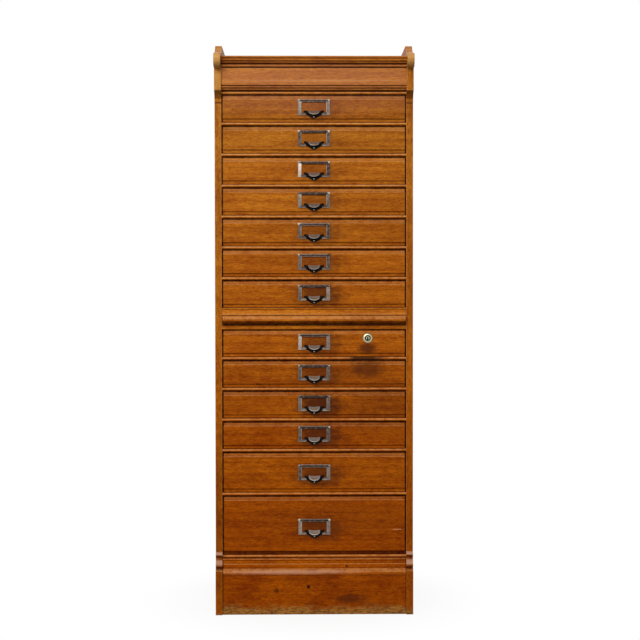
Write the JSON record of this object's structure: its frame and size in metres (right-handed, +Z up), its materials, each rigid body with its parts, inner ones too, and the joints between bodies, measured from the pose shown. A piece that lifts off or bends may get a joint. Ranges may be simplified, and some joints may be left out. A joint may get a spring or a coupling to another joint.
{
  "type": "filing chest",
  "caption": "Tall narrow oak chest of shallow filing drawers with scroll-topped sides, card-frame pulls, a pull-out writing slide at desk height and a cylinder lock.",
  "frame": {"origin": "on the floor, in the middle of the chest's width and depth", "axes": "+X to the chest's left-to-right as a person faces it, drawers open towards -Y, +Z up"},
  "size_m": [0.495, 0.47, 1.427],
  "materials": {
    "oak_polished": "golden oak, stained and polished, worn at the edges",
    "oak_plain": "unfinished oak, darkened with age",
    "brass_aged": "plated brass, dark in the hollows and polished by fingers on the high parts",
    "brass_bright": "worn polished brass",
    "steel": "plain steel, dulled"
  },
  "bodies": {
    "carcass": {"side_left": "oak_polished", "side_right": "oak_polished", "top_board": "oak_polished", "frieze_board": "oak_polished", "cornice_mouldings": "oak_polished", "drawer_rails": "oak_polished", "waist_rail": "oak_polished", "slide_rail": "oak_polished", "runners_left": "oak_plain", "runners_right": "oak_plain", "back_boards": "oak_plain", "bottom_board": "oak_plain", "plinth_board": "oak_polished", "base_moulding": "oak_polished"},
    "writing_slide": {"slide_board": "oak_polished", "slide_lipping": "oak_polished"},
    "drawer_01": {"drawer_01_front": "oak_polished", "drawer_01_box": "oak_plain", "drawer_01_pull": "brass_aged"},
    "drawer_02": {"drawer_02_front": "oak_polished", "drawer_02_box": "oak_plain", "drawer_02_pull": "brass_aged"},
    "drawer_03": {"drawer_03_front": "oak_polished", "drawer_03_box": "oak_plain", "drawer_03_pull": "brass_aged"},
    "drawer_04": {"drawer_04_front": "oak_polished", "drawer_04_box": "oak_plain", "drawer_04_pull": "brass_aged"},
    "drawer_05": {"drawer_05_front": "oak_polished", "drawer_05_box": "oak_plain", "drawer_05_pull": "brass_aged"},
    "drawer_06": {"drawer_06_front": "oak_polished", "drawer_06_box": "oak_plain", "drawer_06_pull": "brass_aged"},
    "drawer_07": {"drawer_07_front": "oak_polished", "drawer_07_box": "oak_plain", "drawer_07_pull": "brass_aged"},
    "drawer_08": {"drawer_08_front": "oak_polished", "drawer_08_box": "oak_plain", "drawer_08_pull": "brass_aged", "lock_cylinder": "brass_bright", "lock_case": "steel", "lock_screws": "steel"},
    "drawer_09": {"drawer_09_front": "oak_polished", "drawer_09_box": "oak_plain", "drawer_09_pull": "brass_aged"},
    "drawer_10": {"drawer_10_front": "oak_polished", "drawer_10_box": "oak_plain", "drawer_10_pull": "brass_aged"},
    "drawer_11": {"drawer_11_front": "oak_polished", "drawer_11_box": "oak_plain", "drawer_11_pull": "brass_aged"},
    "drawer_12": {"drawer_12_front": "oak_polished", "drawer_12_box": "oak_plain", "drawer_12_pull": "brass_aged"},
    "drawer_13": {"drawer_13_front": "oak_polished", "drawer_13_box": "oak_plain", "drawer_13_pull": "brass_aged"},
    "lock_plug": {"lock_plug": "brass_bright"},
    "lock_bolt": {"lock_bolt": "steel"}
  },
  "joints": [
    {"name": "writing_slide_pull", "type": "slide", "parent": "carcass", "child": "writing_slide", "axis": [0, -1, 0], "range_m": [0, 0.3]},
    {"name": "drawer_01_pull_out", "type": "slide", "parent": "carcass", "child": "drawer_01", "axis": [0, -1, 0], "range_m": [0, 0.3]},
    {"name": "drawer_02_pull_out", "type": "slide", "parent": "carcass", "child": "drawer_02", "axis": [0, -1, 0], "range_m": [0, 0.3]},
    {"name": "drawer_03_pull_out", "type": "slide", "parent": "carcass", "child": "drawer_03", "axis": [0, -1, 0], "range_m": [0, 0.3]},
    {"name": "drawer_04_pull_out", "type": "slide", "parent": "carcass", "child": "drawer_04", "axis": [0, -1, 0], "range_m": [0, 0.3]},
    {"name": "drawer_05_pull_out", "type": "slide", "parent": "carcass", "child": "drawer_05", "axis": [0, -1, 0], "range_m": [0, 0.3]},
    {"name": "drawer_06_pull_out", "type": "slide", "parent": "carcass", "child": "drawer_06", "axis": [0, -1, 0], "range_m": [0, 0.3]},
    {"name": "drawer_07_pull_out", "type": "slide", "parent": "carcass", "child": "drawer_07", "axis": [0, -1, 0], "range_m": [0, 0.3]},
    {"name": "drawer_08_pull_out", "type": "slide", "parent": "carcass", "child": "drawer_08", "axis": [0, -1, 0], "range_m": [0, 0.3]},
    {"name": "drawer_09_pull_out", "type": "slide", "parent": "carcass", "child": "drawer_09", "axis": [0, -1, 0], "range_m": [0, 0.3]},
    {"name": "drawer_10_pull_out", "type": "slide", "parent": "carcass", "child": "drawer_10", "axis": [0, -1, 0], "range_m": [0, 0.3]},
    {"name": "drawer_11_pull_out", "type": "slide", "parent": "carcass", "child": "drawer_11", "axis": [0, -1, 0], "range_m": [0, 0.3]},
    {"name": "drawer_12_pull_out", "type": "slide", "parent": "carcass", "child": "drawer_12", "axis": [0, -1, 0], "range_m": [0, 0.3]},
    {"name": "drawer_13_pull_out", "type": "slide", "parent": "carcass", "child": "drawer_13", "axis": [0, -1, 0], "range_m": [0, 0.3]},
    {"name": "lock_plug_turn", "type": "hinge", "parent": "drawer_08", "child": "lock_plug", "pos_m": [0.134, -0.185, 0.6935], "axis": [0, -1, 0], "range_deg": [0, 90]},
    {"name": "lock_bolt_lift", "type": "slide", "parent": "drawer_08", "child": "lock_bolt", "axis": [0, 0, 1], "range_m": [0, 0.0071]}
  ],
  "couplings": [
    {"joint": "lock_bolt_lift", "follows": "lock_plug_turn", "m_per_rad": 0.0045015}
  ]
}
